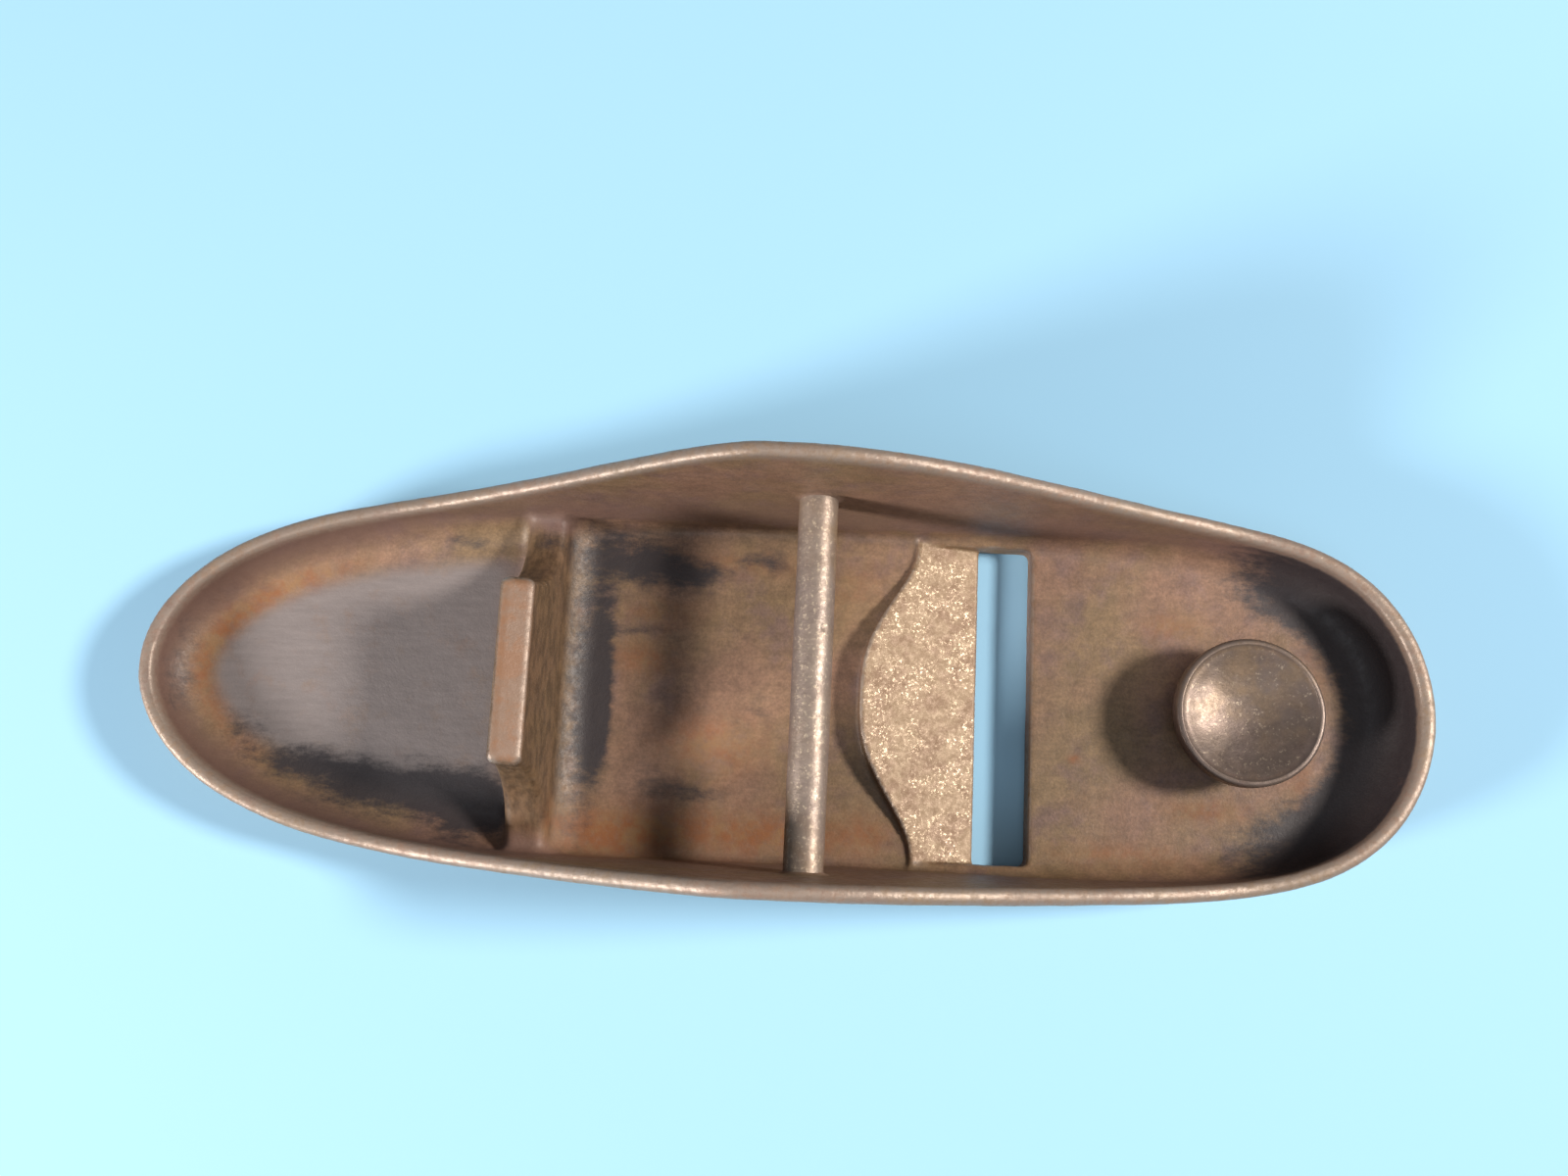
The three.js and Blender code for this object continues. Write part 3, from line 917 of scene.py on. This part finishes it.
def worn_edges(shader, fine):
    """How worn each place is, from 0 to 1: the rim in patches, the pad's edge line, which is also a painted
    highlight, and edges that stick out.
    """
    patchy = shader.ramp(shader.noise(0.8 * MM, detail=5, rough=0.7), 0.34, 0.6, to_low=0.3, to_high=0.9)
    rim = shader.times(shader.mask("rim"), patchy)
    edge = shader.times(shader.mask("edge"), shader.ramp(fine, 0.3, 0.6, to_low=0.5))
    return shader.math("MAXIMUM", rim, shader.ramp(edge, 0.25, 0.75, to_high=0.85))


def bare_speckles(shader):
    """Bright specks of bare iron on the bed, thicker in some places than in others."""
    speckle = shader.ramp(shader.noise(0.36 * MM, detail=5, rough=0.8), 0.5, 0.66)
    crowded = shader.ramp(shader.noise(3.2 * MM, rough=0.6), 0.4, 0.6, to_low=0.15, to_high=0.75)
    return shader.times(shader.mask("bed"), shader.times(speckle, crowded))


def iron_of_casting():
    shader = Shader("patinated_iron")
    fine = shader.noise(0.9 * MM, detail=5, rough=0.7)
    grain = shader.noise(0.28 * MM, detail=3, rough=0.6)
    blotch = shader.noise(2.6 * MM, detail=5, rough=0.65)
    worn = worn_edges(shader, fine)
    bare = bare_speckles(shader)

    colour = patina(shader, BROWN)
    colour = tail_floor_and_walls(shader, colour, blotch)
    colour = streaked_web(shader, colour)
    colour = rusted(shader, colour, fine, blotch)
    colour = shaded_and_grimed(shader, colour)
    colour = bed_and_pad(shader, colour, blotch)
    colour = shader.colour(worn, colour, WORN_IRON)
    colour = shader.colour(bare, colour, BARE)

    metallic = shader.math("MAXIMUM", shader.times(worn, 0.5), bare)
    metallic = shader.math("MAXIMUM", metallic, shader.times(shader.mask("bed"), 0.2))
    metallic = shader.math("MAXIMUM", metallic, 0.08)
    roughness = shader.ramp(fine, 0.3, 0.7, to_low=0.45, to_high=0.62)
    roughness = shader.number(worn, roughness, 0.46)
    roughness = shader.number(shader.mask("rust"), roughness, 0.75)
    roughness = shader.number(bare, roughness, 0.36)
    normal = shader.bump(grain, distance=0.035 * MM, strength=0.8)
    normal = shader.bump(fine, distance=0.06 * MM, strength=0.7, onto=normal)
    return shader.finish(colour, roughness, metallic, normal)


def iron_of_rod():
    shader = Shader("worn_rod")
    fine = shader.noise(0.8 * MM, detail=5, rough=0.7)
    grain = shader.noise(0.3 * MM, detail=3, rough=0.6)
    # The top half is made lighter, more metallic and speckled than the underside.
    worn = shader.ramp(shader.noise(2.2 * MM, detail=4), 0.3, 0.6, to_low=0.45, to_high=0.95)
    worn = shader.times(shader.mask("top"), worn)
    speckle = shader.ramp(shader.noise(0.5 * MM, detail=4, rough=0.75), 0.54, 0.68)

    colour = patina(shader, ROD_BROWN)
    colour = shader.colour(worn, colour, WORN_IRON)
    colour = shader.colour(shader.times(speckle, worn), colour, BARE)
    metallic = shader.number(worn, 0.25, 0.55)
    roughness = shader.ramp(fine, 0.3, 0.7, to_low=0.38, to_high=0.56)
    normal = shader.bump(grain, distance=0.03 * MM, strength=0.8)
    normal = shader.bump(fine, distance=0.06 * MM, strength=0.8, onto=normal)
    return shader.finish(colour, roughness, metallic, normal)


def iron_of_finger_rest():
    shader = Shader("worn_finger_rest")
    fine = shader.noise(0.8 * MM, detail=5, rough=0.7)
    grain = shader.noise(0.3 * MM, detail=3, rough=0.6)
    rubbed = shader.ramp(shader.noise(2.5 * MM, detail=4), 0.35, 0.65, to_low=0.25, to_high=0.8)
    rubbed = shader.times(shader.mask("dish"), rubbed)
    rim = shader.times(shader.mask("rim"), shader.ramp(fine, 0.3, 0.6, to_low=0.35))
    worn = shader.math("MAXIMUM", rubbed, rim)
    speckle = shader.ramp(shader.noise(0.5 * MM, detail=4, rough=0.75), 0.56, 0.68)

    colour = patina(shader, FINGER_BROWN)
    colour = shader.colour(worn, colour, RUBBED_IRON)
    colour = shader.colour(shader.times(speckle, shader.times(rubbed, 0.6)), colour, BARE)
    # The neck under the button's edge is darkened as painted shade.
    colour = shader.colour(shader.times(shader.mask("shade_under_edge"), 0.7), colour, SHADE_AND_GRIME_BLACK)
    metallic = shader.number(worn, 0.25, 0.7)
    roughness = shader.ramp(fine, 0.3, 0.7, to_low=0.36, to_high=0.5)
    normal = shader.bump(grain, distance=0.02 * MM, strength=0.6)
    normal = shader.bump(fine, distance=0.05 * MM, strength=0.5, onto=normal)
    return shader.finish(colour, roughness, metallic, normal)


# ---------------------------------------------------------------- the pieces


def place_piece(piece, material, node):
    piece.data.materials.append(material)
    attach(piece, "root")
    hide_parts(node)


place_piece(make_casting(), iron_of_casting(), "body_casting")
place_piece(make_rod(), iron_of_rod(), "cross_rod")
place_piece(make_finger_rest(), iron_of_finger_rest(), "finger_rest")

# ---------------------------------------------------------------- the stage


def make_floor():
    half = 2
    mesh = bpy.data.meshes.new("floor")
    points = [(-half, -half, 0), (half, -half, 0), (half, half, 0), (-half, half, 0)]
    mesh.from_pydata(points, [], [(0, 1, 2, 3)])
    floor = bpy.data.objects.new("floor", mesh)
    bpy.context.scene.collection.objects.link(floor)
    shader = Shader("pale_floor")
    shader.surface.inputs["Base Color"].default_value = FLOOR_BLUE
    shader.surface.inputs["Roughness"].default_value = 0.8
    mesh.materials.append(shader.material)


def soft_lamp(name, azimuth, height, distance, size, power, colour):
    """A round lamp aimed at the origin. azimuth is the angle from +X, height the one from
    the floor, both in degrees."""
    light = bpy.data.lights.new(name, "AREA")
    light.shape = "DISK"
    light.size = size
    light.energy = power
    light.color = colour
    lamp = bpy.data.objects.new(name, light)
    bpy.context.scene.collection.objects.link(lamp)
    level = math.cos(rad(height))
    toward = Vector((level * math.cos(rad(azimuth)), level * math.sin(rad(azimuth)), math.sin(rad(height))))
    lamp.location = toward * distance
    lamp.rotation_euler = toward.to_track_quat("Z", "Y").to_euler()


def light_the_room():
    """A faint even light from all round, which also fills the shadows."""
    world = bpy.data.worlds.new("room")
    world.use_nodes = True
    background = world.node_tree.nodes["Background"]
    background.inputs["Color"].default_value = (0.84, 0.92, 1, 1)
    background.inputs["Strength"].default_value = 0.18
    bpy.context.scene.world = world


CAMERA_PLACE = (3.98 * MM, -17.70 * MM, 164.69 * MM)
CAMERA_TILT = rad(10.44)
CAMERA_LEAN = rad(1.36)
CAMERA_ROLL = rad(2.47)
CAMERA_LENS = 33.42


def make_camera():
    """Nearly overhead, looking straight down before its tilt, lean and roll."""
    data = bpy.data.cameras.new("camera")
    data.lens = CAMERA_LENS
    data.sensor_width = 36
    data.clip_start = 5 * MM
    camera = bpy.data.objects.new("camera", data)
    bpy.context.scene.collection.objects.link(camera)
    turn = Matrix.Rotation(CAMERA_TILT, 4, "X") @ Matrix.Rotation(CAMERA_LEAN, 4, "Y")
    turn = turn @ Matrix.Rotation(CAMERA_ROLL, 4, "Z")
    camera.matrix_world = Matrix.Translation(CAMERA_PLACE) @ turn
    bpy.context.scene.camera = camera


WARM = (1, 0.95, 0.88)
WARM_WHITE = (1, 0.96, 0.92)
COOL_WHITE = (0.88, 0.94, 1)

make_floor()
soft_lamp("toe_lamp", azimuth=5, height=40, distance=0.9, size=0.16, power=10.2, colour=WARM)
soft_lamp("tail_lamp", azimuth=208, height=23, distance=0.55, size=0.12, power=4.0, colour=WARM_WHITE)
soft_lamp("top_lamp", azimuth=262, height=72, distance=1.6, size=0.8, power=4.0, colour=COOL_WHITE)
light_the_room()
make_camera()
bpy.context.scene.view_settings.view_transform = "Standard"
